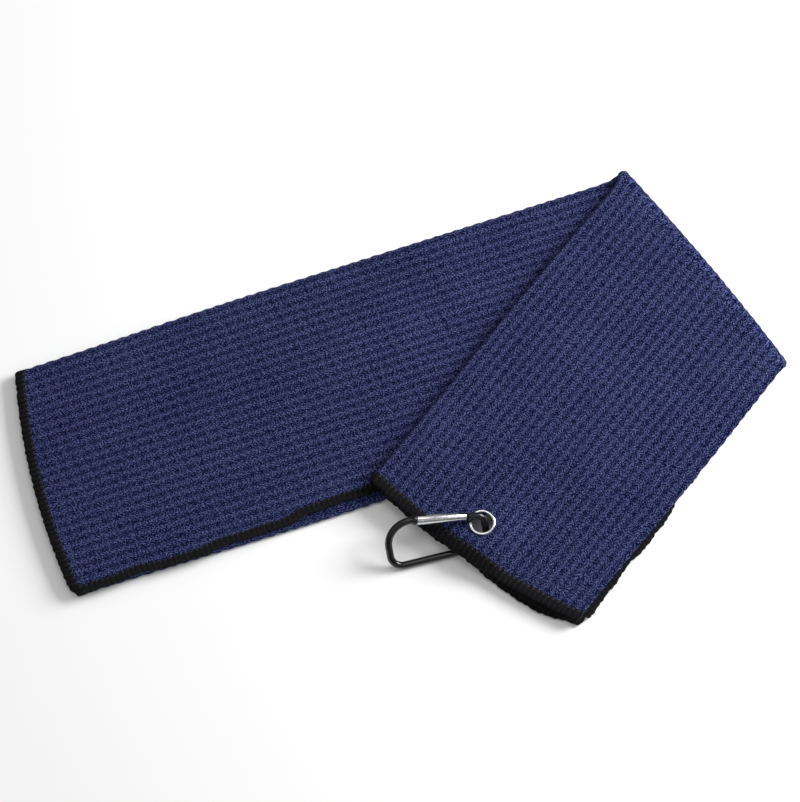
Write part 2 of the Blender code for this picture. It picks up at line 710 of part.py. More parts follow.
# Pins: the hinge pin stays with the clip's frame, the latch pin moves with the gate
hinge_pin = rod("hinge_pin", in_plane(pivot, -GATE_DIAMETER_HINGE / 2),
                in_plane(pivot, GATE_DIAMETER_HINGE / 2), PIN_DIAMETER, PIN_DIAMETER)
new_object("hinge_pin", hinge_pin, steel, clip_plane)
latch_half = GATE_DIAMETER_LATCH / 2 - 0.0001
latch_pin = rod("latch_pin", local(latch_pin_place, -latch_half), local(latch_pin_place, latch_half),
                PIN_DIAMETER, PIN_DIAMETER)
new_object("latch_pin", latch_pin, steel, gate_axis)

# Plunger and its spring, inside the gate's bore
plunger_mesh = rod("gate_plunger", local(gate_start + gate_way * plunger_back),
                   local(gate_start + gate_way * plunger_tip), PLUNGER_DIAMETER, PLUNGER_DIAMETER, 12)
new_object("gate_plunger", plunger_mesh, steel, gate_axis)
coil_radius = (SPRING_DIAMETER - SPRING_WIRE) / 2
coil = []
steps = SPRING_TURNS * 8
for k in range(steps + 1):
    t = k / steps
    way = spring_back + SPRING_WIRE / 2 + (SPRING_LENGTH - SPRING_WIRE) * t
    spin = t * SPRING_TURNS * 2 * math.pi
    middle = gate_start + gate_way * way + gate_side * coil_radius * math.cos(spin)
    coil.append(local(middle, coil_radius * math.sin(spin)))
new_object("gate_spring", tube("gate_spring", coil, SPRING_WIRE, 1), steel, gate_axis)

for thing in (frame, gate):
    smooth_shade(thing.data)

# The origin is under the middle of the whole towel
bpy.context.view_layer.update()
graph = bpy.context.evaluated_depsgraph_get()
corners = []
for thing in parts.objects:
    if thing.type == "MESH":
        body = thing.evaluated_get(graph)
        form = body.to_mesh()
        places = np.empty(len(form.vertices) * 3)
        form.vertices.foreach_get("co", places)
        matrix = np.array(body.matrix_world)
        places = places.reshape(-1, 3) @ matrix[:3, :3].T + matrix[:3, 3]
        corners.append(places.min(axis=0))
        corners.append(places.max(axis=0))
        body.to_mesh_clear()
low = np.min(corners, axis=0)
high = np.max(corners, axis=0)
root.location = (-(low[0] + high[0]) / 2, -(low[1] + high[1]) / 2, -low[2])
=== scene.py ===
"""A golf towel: waffle cloth folded in three and then once on a slant, with an eyelet and a clip."""
import json
import math

import bmesh
import bpy
import numpy as np
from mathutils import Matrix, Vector


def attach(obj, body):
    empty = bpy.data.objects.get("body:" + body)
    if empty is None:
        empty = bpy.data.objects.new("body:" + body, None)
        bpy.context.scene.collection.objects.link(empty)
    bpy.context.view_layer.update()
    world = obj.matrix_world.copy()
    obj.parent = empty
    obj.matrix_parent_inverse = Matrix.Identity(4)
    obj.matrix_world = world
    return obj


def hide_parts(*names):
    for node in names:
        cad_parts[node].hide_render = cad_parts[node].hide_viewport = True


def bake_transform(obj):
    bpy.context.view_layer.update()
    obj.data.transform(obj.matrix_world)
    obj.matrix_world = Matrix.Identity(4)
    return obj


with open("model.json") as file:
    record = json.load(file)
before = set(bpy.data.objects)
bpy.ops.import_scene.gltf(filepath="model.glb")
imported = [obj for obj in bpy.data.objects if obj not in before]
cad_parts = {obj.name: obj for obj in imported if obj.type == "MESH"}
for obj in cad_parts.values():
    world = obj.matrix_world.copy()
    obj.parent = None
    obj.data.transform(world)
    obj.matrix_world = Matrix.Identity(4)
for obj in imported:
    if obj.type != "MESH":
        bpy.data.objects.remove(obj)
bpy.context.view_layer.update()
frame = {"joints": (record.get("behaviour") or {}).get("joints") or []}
joint_place = {joint["name"]: joint.get("pos_m") for joint in frame["joints"]}

# ---------------------------------------------------------------- camera
# It looks down at the towel from in front, through a long lens that hardly narrows the far side.
CAMERA_PLACE = Vector((-0.000675, -0.5594, 1.3152))
CAMERA_AIM = Vector((-0.000675, -0.003351, 0.0))
LENS = 113.706

eye = bpy.data.cameras.new("camera")
eye.sensor_fit = "HORIZONTAL"
eye.sensor_width = 36
eye.lens = LENS
camera = bpy.data.objects.new("camera", eye)
camera.location = CAMERA_PLACE
camera.rotation_euler = (CAMERA_AIM - CAMERA_PLACE).to_track_quat("-Z", "Y").to_euler()
bpy.context.scene.collection.objects.link(camera)
bpy.context.scene.camera = camera
bpy.context.scene.view_settings.view_transform = "Standard"


# ---------------------------------------------------------------- cloth of the two legs
# One rectangle of microfibre waffle cloth, 406 x 610 mm, dyed navy.  It is folded in three along its
# length, and the strip of three layers is folded once across on a slant.
STRIP_WIDTH = 0.1395
HALF = STRIP_WIDTH / 2
SWELL = 0.035
SWELL_STARTS = (-0.400, -0.240)
SWELL_ENDS = (0.060, 0.210)
LOWER_LENGTH = 0.4015
UPPER_LENGTH = 0.2252
CLOTH = 0.002
LAYER_GAP = 0.0003
END_BOW = 0.006
CORNER_ROUND = 0.003
LOWER_SKEW = 0.0035
UPPER_SKEW = 0.0036
INNER_SHORT = 0.0104
STEP_BACK = 0.007
OVERHANG = 0.0022
OUTER_FAN = 0.0034
INNER_FAN = 0.0018
PLAIN_HEM = 0.0056
EYELET_HEM = 0.007
SIDE_HEM = 0.005
TUCK = 0.0004
EDGE_WAVES = ((0.0007, 118, 0), (0.0004, 261, 1))
DROOP_RUN = 0.064
DROOP_STARTS = (0.005, 0.070)
PINCH = 0.34
PINCH_REACH = 0.0185
CREASE_BOW = 0.0022
EAR = 0.0032
EAR_REACH = 0.008
FLAT_CORNER = 0.01143
EYELET_ALONG = 0.2046
EYELET_ACROSS = 0.0044
EYELET_HEIGHT = joint_place["clip_swing"][2]
EYELET_GAP = 0.0064
ORIGIN = np.array([0.174605, 0.076519])
LOWER_HEADING = math.radians(19.3)
CREASE_HEADING = math.radians(125.5)

PITCH = CLOTH + LAYER_GAP
STACK = 3 * CLOTH + 2 * LAYER_GAP
CREASE_HEIGHT = STACK + LAYER_GAP / 2
BEND_LENGTH = math.pi * (CREASE_HEIGHT - STACK / 2)
BEND_START = -BEND_LENGTH / 2
UPPER_MIDDLE = 2 * CREASE_HEIGHT - STACK / 2
ALONG = np.array([math.cos(LOWER_HEADING), math.sin(LOWER_HEADING)])
ACROSS = np.array([-ALONG[1], ALONG[0]])
CREASE = np.array([math.cos(CREASE_HEADING), math.sin(CREASE_HEADING)])
OUTWARD = np.array([CREASE[1], -CREASE[0]])

# Distances across the cloth from the strip's middle line, round its near and far folds
NEAR_FOLD = HALF - PITCH - CLOTH / 2
FAR_FOLD = -HALF + PITCH / 2 + CLOTH / 2
NEAR_END = NEAR_FOLD + math.pi * PITCH
BASE_END = NEAR_END + NEAR_FOLD - FAR_FOLD
FAR_END = BASE_END + math.pi * PITCH / 2
INNER_EDGE = FAR_END + HALF - INNER_SHORT - FAR_FOLD

# The weave: ridges along the towel, and smaller bars across them that make square pits
RIDGE = 0.00525
BAR = 0.007
BAR_SKEW = math.tan(math.radians(7))
RELIEF = 0.00046
TUFT = 0.0006
LUMP = 0.00012
BACK_RELIEF = 0.6


def rise_between(value, low, high):
    """0 below low and 1 above high, with an S-shaped rise 3t^2 - 2t^3 between."""
    t = np.clip((value - low) / (high - low), 0.0, 1.0)
    return t * t * (3 - 2 * t)


def folded_in_three(lateral):
    """The cloth's cross-section: straight, half round, straight, half round, straight.
    Gives across, height, the outer side's direction and how far the end fans out."""
    near = np.clip((lateral - NEAR_FOLD) / PITCH, 0, math.pi)
    far = np.clip((lateral - BASE_END) / (PITCH / 2), 0, math.pi)
    across = np.minimum(lateral, NEAR_FOLD) + PITCH * np.sin(near)
    across = across - np.clip(lateral - NEAR_END, 0, NEAR_FOLD - FAR_FOLD)
    across = across - PITCH / 2 * np.sin(far) + np.maximum(lateral - FAR_END, 0)
    height = 2 * PITCH + CLOTH / 2 - PITCH * (1 - np.cos(near)) + PITCH / 2 * (1 - np.cos(far))
    side = np.sin(near) - np.sin(far)
    up = np.where(lateral < BASE_END, np.cos(near), -np.cos(far))
    return across, height, side, up, OUTER_FAN * (1 - near / math.pi) + INNER_FAN * far / math.pi


def along_at(past, across):
    """The place along the strip that lies past the crease by that much, on a line across it."""
    return (past - across * (1 + SWELL) * (ACROSS @ OUTWARD)) / (ALONG @ OUTWARD)


def plain_end(lateral):
    """The hemmed end of the lower leg: a shallow bow, a little skew and one round corner."""
    part = folded_in_three(lateral)[0] / HALF
    rounding = CORNER_ROUND * rise_between(-part, 0.90, 1.0)
    return -LOWER_LENGTH + END_BOW * part ** 2 + LOWER_SKEW * part + rounding


def eyelet_end(lateral):
    """The hemmed end of the upper leg: a shallow bow, and the layers below fan out past it."""
    across, _, _, _, fan = folded_in_three(lateral)
    part = across / HALF
    spread = fan * rise_between(-part, 0.0, 0.7) * (1 - 0.9 * rise_between(-part, 0.7, 1.0))
    return UPPER_LENGTH - END_BOW * part ** 2 + UPPER_SKEW * part + spread


def outer_edge(along):
    """The outer flap's free edge, which wanders past the fold under it in two small waves."""
    back = STEP_BACK * rise_between(along, -0.350, -0.190)
    wave = sum(tall * np.sin(along * turns + start) for tall, turns, start in EDGE_WAVES)
    return -HALF + back - (STEP_BACK + OVERHANG) * rise_between(along, 0.0, 0.180) + wave


def laid(along, lateral, out):
    """A point of the cloth in space: across the three layers, then round the slanting crease as
    an arc of radius crease height - height, then down off the lower leg and up to the eyelet."""
    across, height, side, up, _ = folded_in_three(lateral)
    wide = 1 + SWELL * rise_between(along, *SWELL_STARTS) * (1 - rise_between(along, *SWELL_ENDS))
    part = across / HALF
    nearby = (along[..., None] * ALONG + (across * wide)[..., None] * ACROSS) @ OUTWARD
    ear = EAR * np.exp(-(nearby / EAR_REACH) ** 2) * rise_between(part, 0.5, 1.0)
    across = (across + side * out) * wide + ear
    height = height + up * out
    place = along[..., None] * ALONG + across[..., None] * ACROSS
    past, down = place @ OUTWARD, place @ CREASE
    turn = np.clip((past - BEND_START) / BEND_LENGTH, 0.0, 1.0) * math.pi
    radius = CREASE_HEIGHT - height
    bow = CREASE_BOW * (1 - np.clip(part, -1, 1) ** 2)
    reach = np.where(past < BEND_START, past, BEND_START + (radius + bow) * np.sin(turn))
    reach = np.where(past > BEND_START + BEND_LENGTH, -past, reach)
    plan = reach[..., None] * OUTWARD + down[..., None] * CREASE
    z = CREASE_HEIGHT - radius * np.cos(turn)
    beside, behind = -(plan @ ACROSS), -(plan @ OUTWARD)
    droop = STACK * rise_between(beside, HALF * (1 + SWELL), HALF * (1 + SWELL) + DROOP_RUN)
    droop = droop * rise_between(behind, *DROOP_STARTS)
    distance = np.hypot(*np.moveaxis(plan - EYELET_PLAN, -1, 0))
    lift = 1 - rise_between(distance, FLAT_CORNER, FLAT_CORNER + PINCH_REACH)
    middle = (UPPER_MIDDLE - droop) * (1 - lift) + EYELET_HEIGHT * lift
    pinch = PINCH + (1 - PINCH) * rise_between(distance, FLAT_CORNER, FLAT_CORNER + PINCH_REACH)
    z = np.where(past > BEND_START + BEND_LENGTH, middle + (z - UPPER_MIDDLE) * pinch, z)
    return np.stack([plan[..., 0] + ORIGIN[0], plan[..., 1] + ORIGIN[1], z], axis=-1)


def eyelet_plan():
    """The eyelet's middle on the upper leg, mirrored in the crease from the flat strip."""
    flat = EYELET_ALONG * ALONG + EYELET_ACROSS * ACROSS
    return -(flat @ OUTWARD) * OUTWARD + (flat @ CREASE) * CREASE


EYELET_PLAN = eyelet_plan()


def waffle(along, lateral):
    """How far the face lies below its ridges: pits where neither a ridge nor a bar passes, lumps
    of a few millimetres all over, and tufts round the side folds."""
    ridge = 0.5 + 0.5 * np.cos(2 * math.pi * lateral / RIDGE)
    bar = 0.5 + 0.5 * np.cos(2 * math.pi * (along + lateral * BAR_SKEW) / BAR)
    lumps = np.sin(along * 780 + 2 * np.sin(lateral * 310)) * np.sin(lateral * 690 + along * 130)
    _, _, side, _, _ = folded_in_three(lateral)
    tufts = 0.5 - 0.5 * np.cos(2 * math.pi * along / BAR + 1.5 * np.sin(along * 95))
    return (RELIEF * (1 - ridge) * (1 - 0.5 * bar) + LUMP * (0.5 + 0.5 * lumps)
            + TUFT * np.abs(side) * tufts)


def made(name, points, faces, finish, maps, flat_above=42):
    """A mesh object from arrays, smooth but for its sharp edges, with one map of its surface."""
    mesh = bpy.data.meshes.new(name)
    mesh.from_pydata(points.tolist(), [], faces)
    corners = np.empty(len(mesh.loops), np.int32)
    mesh.loops.foreach_get("vertex_index", corners)
    layer = mesh.uv_layers.new(name="surface")
    layer.data.foreach_set("uv", maps[corners].astype(np.float32).ravel())
    mesh.shade_smooth()
    mesh.set_sharp_from_angle(angle=math.radians(flat_above))
    mesh.materials.append(finish)
    thing = bpy.data.objects.new(name, mesh)
    bpy.context.scene.collection.objects.link(thing)
    return thing


def slab(name, outer, inner, keep, maps, finish):
    """Two grids and the walls between them, round the outside and round every cell left out."""
    rows, columns = outer.shape[:2]
    number = np.arange(rows * columns).reshape(rows, columns)
    size = rows * columns
    quads = np.stack([number[:-1, :-1], number[1:, :-1], number[1:, 1:], number[:-1, 1:]], axis=-1)
    padded = np.pad(keep, 1)
    beside = (padded[1:-1, :-2], padded[2:, 1:-1], padded[1:-1, 2:], padded[:-2, 1:-1])
    faces = [quads[keep], quads[keep][:, ::-1] + size]
    for edge, neighbour in enumerate(beside):
        bare = keep & ~neighbour
        start, end = quads[..., edge][bare], quads[..., (edge + 1) % 4][bare]
        faces.append(np.stack([end, start, start + size, end + size], axis=-1))
    faces = np.concatenate(faces)
    used, order = np.unique(faces, return_inverse=True)
    points = np.concatenate([outer.reshape(-1, 3), inner.reshape(-1, 3)])[used]
    flat = np.concatenate([maps.reshape(-1, 2), maps.reshape(-1, 2)])[used]
    return made(name, points, order.reshape(-1, 4).tolist(), finish, flat)


def panel(name, body, nodes, edges, ends, spacing, finish):
    """A slab of cloth between two edges across it and two ends along it, its faces sunk by the
    weave.  Ends and edges are functions, and spacing is the grid's along and across it."""
    start = ends[0](np.array(-HALF))
    stop = ends[1](np.array(-HALF))
    count = int(abs(stop - start) / spacing[0]) + 2
    part = np.linspace(0, 1, count)[:, None]
    reference = start + (stop - start) * part
    low, high = edges[0](reference), edges[1](reference)
    columns = int(np.max(high - low) / spacing[1]) + 2
    lateral = low + (high - low) * np.linspace(0, 1, columns)[None, :]
    along = ends[0](lateral) + (ends[1](lateral) - ends[0](lateral)) * part
    sunk = waffle(along, lateral)
    outer = laid(along, lateral, CLOTH / 2 - sunk)
    inner = laid(along, lateral, -CLOTH / 2 + BACK_RELIEF * sunk)
    middle = (outer[:-1, :-1, :2] + outer[1:, 1:, :2]) / 2 - ORIGIN - EYELET_PLAN
    keep = np.hypot(middle[..., 0], middle[..., 1]) > EYELET_GAP
    if body == "lower_leg":
        keep[:] = True
    piece = slab(name, outer, inner, keep, np.stack([along, lateral], axis=-1), finish)
    if nodes:
        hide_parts(nodes)
        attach(piece, body)
    return piece


class Dye:
    """A socket of a material's nodes.  Sums on it add Math nodes, and node() adds any other."""

    def __init__(self, tree, socket=None):
        self.tree = tree
        self.socket = socket

    def node(self, kind, settings=(), sockets=(), output=0):
        thing = self.tree.nodes.new("ShaderNode" + kind)
        for key, value in dict(settings).items():
            if key == "stops":
                for stop, (place, colour) in zip(thing.color_ramp.elements, value):
                    stop.position = place
                    stop.color = (*colour, 1)
                for place, colour in value[2:]:
                    thing.color_ramp.elements.new(place).color = (*colour, 1)
            else:
                setattr(thing, key, value)
        for key, value in dict(sockets).items():
            if isinstance(value, Dye):
                self.tree.links.new(value.socket, thing.inputs[key])
            else:
                thing.inputs[key].default_value = value
        return Dye(self.tree, thing.outputs[output])

    def sum(self, operation, first, second=0.0):
        return self.node("Math", {"operation": operation}, {0: first, 1: second})

    def __add__(self, other):
        return self.sum("ADD", self, other)

    def __sub__(self, other):
        return self.sum("SUBTRACT", self, other)

    def __rsub__(self, other):
        return self.sum("SUBTRACT", other, self)

    def __mul__(self, other):
        return self.sum("MULTIPLY", self, other)

    __radd__ = __add__
    __rmul__ = __mul__

    def wave(self):
        """0.5 + 0.5 cos of the value."""
        return 0.5 * self.sum("COSINE", self) + 0.5


def finish_of(name, roughness, metallic=0.0, constants=()):
    """A material with its shader's constants set: gives the material, its nodes and the shader."""
    material = bpy.data.materials.new(name)
    material.use_nodes = True
    shader = material.node_tree.nodes["Principled BSDF"]
    shader.inputs["Roughness"].default_value = roughness
    shader.inputs["Metallic"].default_value = metallic
    for key, value in dict(constants).items():
        shader.inputs[key].default_value = value
    return material, Dye(material.node_tree), shader


def join(dye, value, shader, key):
    dye.tree.links.new(value.socket, shader.inputs[key])


def srgb(*levels):
    """Colour levels out of 255 as linear light."""
    return tuple((v / 255 / 12.92) if v < 10.3 else ((v / 255 + 0.055) / 1.055) ** 2.4 for v in levels)


# Navy pile: two slanting grains of loops about a millimetre long, with painted shade darkening the
# waffle pits
navy, dye, shader = finish_of("navy_waffle", 0.95, 0.0, {
    "Sheen Weight": 0.015, "Sheen Roughness": 0.4, "Sheen Tint": (0.6, 0.62, 0.85, 1),
    "Specular IOR Level": 0.03})
surface = dye.node("UVMap", {"uv_map": "surface"})
loops = []
for turn, grain, seed in ((0.75, 950, 0.0), (-0.7, 1025, 3.7)):
    slanted = dye.node("Mapping", (), {"Vector": surface, "Rotation": (0, 0, turn),
                                       "Scale": (1, 1.9, 1), "Location": (seed, seed, 0)})
    loops.append(dye.node("TexNoise", {"noise_dimensions": "2D"},
                          {"Vector": slanted, "Scale": grain, "Detail": 2.0, "Roughness": 0.62}))
fleck = dye.node("TexNoise", {"noise_dimensions": "2D"},
                 {"Vector": surface, "Scale": 1800.0, "Detail": 1.0, "Roughness": 0.5})
drift = dye.node("TexNoise", {"noise_dimensions": "2D"},
                 {"Vector": surface, "Scale": 28.0, "Detail": 2.0, "Roughness": 0.5})
parted = dye.node("SeparateXYZ", (), {0: surface})
parted_across = Dye(dye.tree, parted.socket.node.outputs[1])
ridges = (parted_across * (2 * math.pi / RIDGE)).wave()
bars = ((parted + parted_across * BAR_SKEW) * (2 * math.pi / BAR)).wave()
# The ridge pattern sets part of the weave's bump height, and through the tone below it also paints
# shade into the pits
ridge_height_and_pit_shade = 1 - (1 - ridges) * (1 - 0.5 * bars)
pile = loops[0] * 0.5 + loops[1] * 0.5
# Painted shade: the pits between ridges and bars get a darker tone than the ridges
tone = pile * 3.1 - 1.05 + (fleck - 0.5) * 0.8 + (ridge_height_and_pit_shade - 0.6) * 0.22 + (drift - 0.5) * 0.10
colour = dye.node("ValToRGB", {"stops": ((0.10, srgb(0, 1, 17)), (0.95, srgb(97, 104, 149)),
                                         (0.38, srgb(8, 10, 42)), (0.62, srgb(39, 45, 87)))},
                  {0: tone})
join(dye, colour, shader, "Base Color")
bumps = dye.node("Bump", (), {"Strength": 0.75, "Distance": 0.0009,
                              "Height": pile * 0.8 + fleck * 0.35 + ridge_height_and_pit_shade * 0.25})
join(dye, bumps, shader, "Normal")

FINE = (0.0013, 0.00105)
PLAIN = (0.0013, 0.0021)
HIDDEN = (0.0026, 0.0042)


def fixed(value):
    return lambda along: value + 0 * along


def past_crease(past):
    return lambda lateral: along_at(past, folded_in_three(lateral)[0])


def lower_start(lateral):
    return plain_end(lateral) + PLAIN_HEM - TUCK


def upper_stop(lateral):
    return eyelet_end(lateral) - EYELET_HEM + TUCK


outer_edges = (lambda along: outer_edge(along) + SIDE_HEM - TUCK, fixed(NEAR_FOLD))
base_edges = (fixed(NEAR_FOLD), fixed(FAR_END))
inner_edges = (fixed(FAR_END), fixed(INNER_EDGE - SIDE_HEM + TUCK))
lower_ends = (lower_start, past_crease(BEND_START))
upper_ends = (past_crease(-BEND_START), upper_stop)
lower_top_ends = (lower_start, past_crease(0))
upper_top_ends = (past_crease(0), upper_stop)

lower_outer = panel("lower_outer_cloth", "lower_leg", "lower_outer_flap", outer_edges,
                    lower_top_ends, FINE, navy)
lower_base = panel("lower_base_cloth", "lower_leg", "lower_base_panel", base_edges, lower_ends,
                   PLAIN, navy)
lower_inner = panel("lower_inner_cloth", "lower_leg", "lower_inner_flap", inner_edges, lower_ends,
                    HIDDEN, navy)
upper_outer = panel("upper_outer_cloth", "upper_leg", "upper_outer_flap", outer_edges,
                    upper_top_ends, PLAIN, navy)
upper_base = panel("upper_base_cloth", "upper_leg", "upper_base_panel", base_edges, upper_ends,
                   FINE, navy)
upper_inner = panel("upper_inner_cloth", "upper_leg", "upper_inner_flap", inner_edges, upper_ends,
                    HIDDEN, navy)

# The two layers on the outside of the crease pass round it in one piece
crease_base = panel("crease_base_cloth", "", "", base_edges,
                    (past_crease(BEND_START), past_crease(-BEND_START)), (0.0006, 0.00105), navy)
crease_inner = panel("crease_inner_cloth", "", "", inner_edges,
                     (past_crease(BEND_START), past_crease(-BEND_START)), (0.0008, 0.0042), navy)
for piece, low, high in ((crease_base, CLOTH + LAYER_GAP, 2 * CREASE_HEIGHT - CLOTH - LAYER_GAP),
                         (crease_inner, 2 * PITCH, 2 * CREASE_HEIGHT - 2 * PITCH)):
    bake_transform(piece)


# ---------------------------------------------------------------- hems
# Black thread sewn over the cloth's cut edges, so that it makes a rounded cord along each of them.
# The two long edges and the two ends are each sewn in one pass.
RIB = 0.003
RIB_DEPTH = 0.00022
STRAND = 0.00075
NEEDLE_ROW = (0.0036, 0.0045)
HEM_HALF = 0.00104
HEM_WANDER = 0.00018
HEM_STEP = 0.0006
TIP = 0.0022
MAP_SHARE = 0.72


def face_outwards(piece, ease=0.0):
    """Turns a closed piece's faces outwards, and eases its edges by a bevel of that size."""
    form = bmesh.new()
    form.from_mesh(piece.data)
    bmesh.ops.recalc_face_normals(form, faces=form.faces)
    if ease:
        bmesh.ops.bevel(form, geom=form.edges[:], offset=ease, segments=2, affect="EDGES")
    form.to_mesh(piece.data)
    form.free()


def wound(name, body, node, points, maps, finish):
    """A closed cord from rings of points along a path, its two ends closed with fans."""
    rows, ring = points.shape[:2]
    number = np.arange(rows * ring).reshape(rows, ring)
    after = np.roll(number, -1, axis=1)
    faces = np.stack([number[:-1], number[1:], after[1:], after[:-1]], axis=-1).reshape(-1, 4)
    ends = []
    for row, tip in ((0, rows * ring), (-1, rows * ring + 1)):
        ends += np.stack([number[row], after[row], np.full(ring, tip)], axis=-1).tolist()
    tips = np.stack([points[0].mean(axis=0), points[-1].mean(axis=0)])
    tip_maps = np.stack([maps[0].mean(axis=0), maps[-1].mean(axis=0)])
    flat = np.concatenate([maps.reshape(-1, 2), tip_maps])
    piece = made(name, np.concatenate([points.reshape(-1, 3), tips]), faces.tolist() + ends, finish,
                 flat, 60)
    face_outwards(piece)
    if node:
        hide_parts(node)
    if body:
        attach(piece, body)
    return piece


thread, dye, shader = finish_of("black_overlock_thread", 0.72, 0.0,
                                {"Sheen Weight": 0.005, "Specular IOR Level": 0.10})
surface = dye.node("UVMap", {"uv_map": "surface"})
run = dye.node("SeparateXYZ", (), {0: surface})
over = Dye(dye.tree, run.socket.node.outputs[1])
strands = ((run + over * 0.35) * (2 * math.pi / STRAND)).wave()
# Painted highlight: bands lighter at the ribs' spacing stand in for light catching the rib crests
painted_rib_highlight = ((run + over * 0.2) * (2 * math.pi / RIB)).wave()
fluff = dye.node("TexNoise", {"noise_dimensions": "2D"},
                 {"Vector": surface, "Scale": 1400.0, "Detail": 2.0, "Roughness": 0.6})
tone = strands * 0.35 + painted_rib_highlight * 0.25 + fluff * 0.75 - 0.2
colour = dye.node("ValToRGB", {"stops": ((0.15, srgb(1, 1, 2)), (0.95, srgb(46, 46, 50)),
                                         (0.55, srgb(9, 9, 11)))}, {0: tone})
needle = dye.sum("GREATER_THAN", ((run * (2 * math.pi / RIB)).wave()), 0.72)
row = dye.sum("GREATER_THAN", over, NEEDLE_ROW[0]) * dye.sum("LESS_THAN", over, NEEDLE_ROW[1])
colour = dye.node("Mix", {"data_type": "RGBA"}, {0: needle * row * 0.12, 6: colour,
                                                 7: (*srgb(118, 120, 140), 1)}, 2)
join(dye, colour, shader, "Base Color")
bumps = dye.node("Bump", (), {"Strength": 0.7, "Distance": 0.0006,
                              "Height": strands * 0.5 + fluff * 0.5 + needle * row * 0.5})
join(dye, bumps, shader, "Normal")

around = np.linspace(0, 2 * math.pi, 16, endpoint=False)[None, :]
ring_wide = np.sign(np.cos(around)) * np.abs(np.cos(around)) ** 0.6
ring_tall = np.sign(np.sin(around)) * np.abs(np.sin(around)) ** 0.7


def hem_section(run, width):
    """Distance in from the edge and out from the cloth: a flattened round with ribs every few
    millimetres, whose outer side wanders a little."""
    rib = np.abs(np.sin(math.pi * run / RIB)) ** 0.7
    wander = HEM_WANDER * (np.sin(run * 570) + np.sin(run * 1460 + 1)) - RIB_DEPTH * rib
    inward = width / 2 * (1 + ring_wide) + wander * (1 - ring_wide) / 2
    return inward, HEM_HALF * (0.90 + 0.10 * rib) * ring_tall


def side_hem(name, body, node, ends, edge_at, inside):
    """A hem along the strip: its section stands on the line where edge_at gives the edge."""
    start, stop = ends[0](np.array(-HALF)), ends[1](np.array(-HALF))
    part = np.linspace(0, 1, int(abs(stop - start) / HEM_STEP))[:, None]
    reference = start + (stop - start) * part
    inward, out = hem_section(reference, SIDE_HEM)
    lateral = edge_at(reference) + inside * inward
    along = ends[0](lateral) + (ends[1](lateral) - ends[0](lateral)) * part
    maps = np.stack([along, inward], axis=-1)
    piece = wound(name, body, node, laid(along, lateral, out), maps, thread)
    return piece


def end_hem(name, body, node, end_at, inside, width):
    """A hem across an end, from the outer flap's edge round both folds to the inner flap's."""
    low = outer_edge(end_at(np.array(-HALF)))
    run = np.linspace(low, INNER_EDGE, int((INNER_EDGE - low) / HEM_STEP))[:, None]
    inward, out = hem_section(run, width)
    lateral = run + 0 * inward
    along = end_at(lateral) + inside * inward
    # The tips of the end are rounded off
    near_tip = np.minimum(run - low, INNER_EDGE - run) / TIP
    taper = np.sqrt(np.clip(1 - (1 - np.clip(near_tip, 0.02, 1)) ** 2, 0.0, 1.0))
    along = along + inside * (1 - taper) * (width / 2 - inward)
    # The map is as wide on every hem, so the needle row lies at the same part of it
    maps = np.stack([run + 0 * inward, inward * EYELET_HEM / width * MAP_SHARE], axis=-1)
    piece = wound(name, body, node, laid(along, lateral, out * taper), maps, thread)
    return piece


inner_line = fixed(INNER_EDGE)
hems = {
    "lower": [side_hem("lower_outer_hem", "lower_leg", "lower_outer_flap_hem", lower_top_ends,
                       outer_edge, 1),
              side_hem("lower_inner_hem", "lower_leg", "lower_inner_flap_hem", lower_top_ends,
                       inner_line, -1),
              end_hem("plain_hem", "lower_leg", "plain_end_hem", plain_end, 1, PLAIN_HEM)],
    "upper": [side_hem("upper_outer_hem", "upper_leg", "upper_outer_flap_hem", upper_top_ends,
                       outer_edge, 1),
              side_hem("upper_inner_hem", "upper_leg", "upper_inner_flap_hem", upper_top_ends,
                       inner_line, -1),
              end_hem("eyelet_hem", "upper_leg", "eyelet_end_hem", eyelet_end, -1, EYELET_HEM)]}

BASE_WIDTH = FAR_END - NEAR_FOLD
INNER_WIDTH = INNER_EDGE - FAR_END - SIDE_HEM


# ---------------------------------------------------------------- eyelet and its washer
# A pressed brass eyelet, nickel plated, set through the three layers.  Its barrel is rolled over a
# flat washer underneath.
EYELET_BORE = 0.00578
EYELET_FLANGE = 0.00748
EYELET_SEAT = 0.001522
EYELET_WALL = 0.00035
PLATE_THICK = 0.0004
ROLL_WIDTH = 0.0011
CROWN = 0.00062
PIECE_GAP = 0.0004
MIDDLE = Vector((*(EYELET_PLAN + ORIGIN), EYELET_HEIGHT))


def turned(name, body, node, outline, centre, axis, finish, steps=96):
    """A closed outline of (radius, height) turned about an axis through centre."""
    outline = np.array(outline)
    turn = np.linspace(0, 2 * math.pi, steps, endpoint=False)
    axis = Vector(axis).normalized()
    first = axis.orthogonal().normalized()
    first, second, axis = np.array(first), np.array(axis.cross(first)), np.array(axis)
    spokes = np.cos(turn)[:, None] * first + np.sin(turn)[:, None] * second
    points = (np.array(centre) + outline[None, :, 0, None] * spokes[:, None, :]
              + outline[None, :, 1, None] * axis)
    count = len(outline)
    number = np.arange(steps * count).reshape(steps, count)
    turned_on = np.roll(number, -1, axis=0)
    faces = np.stack([number, turned_on, np.roll(turned_on, -1, axis=1), np.roll(number, -1, axis=1)],
                     axis=-1).reshape(-1, 4)
    run = np.cumsum(np.hypot(*(outline - np.roll(outline, 1, axis=0)).T))
    maps = np.stack(np.broadcast_arrays(turn[:, None] * outline[:, 0].mean(), run[None, :]), axis=-1)
    piece = made(name, points.reshape(-1, 3), faces.tolist(), finish, maps.reshape(-1, 2), 50)
    face_outwards(piece)
    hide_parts(node)
    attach(piece, body)
    return piece


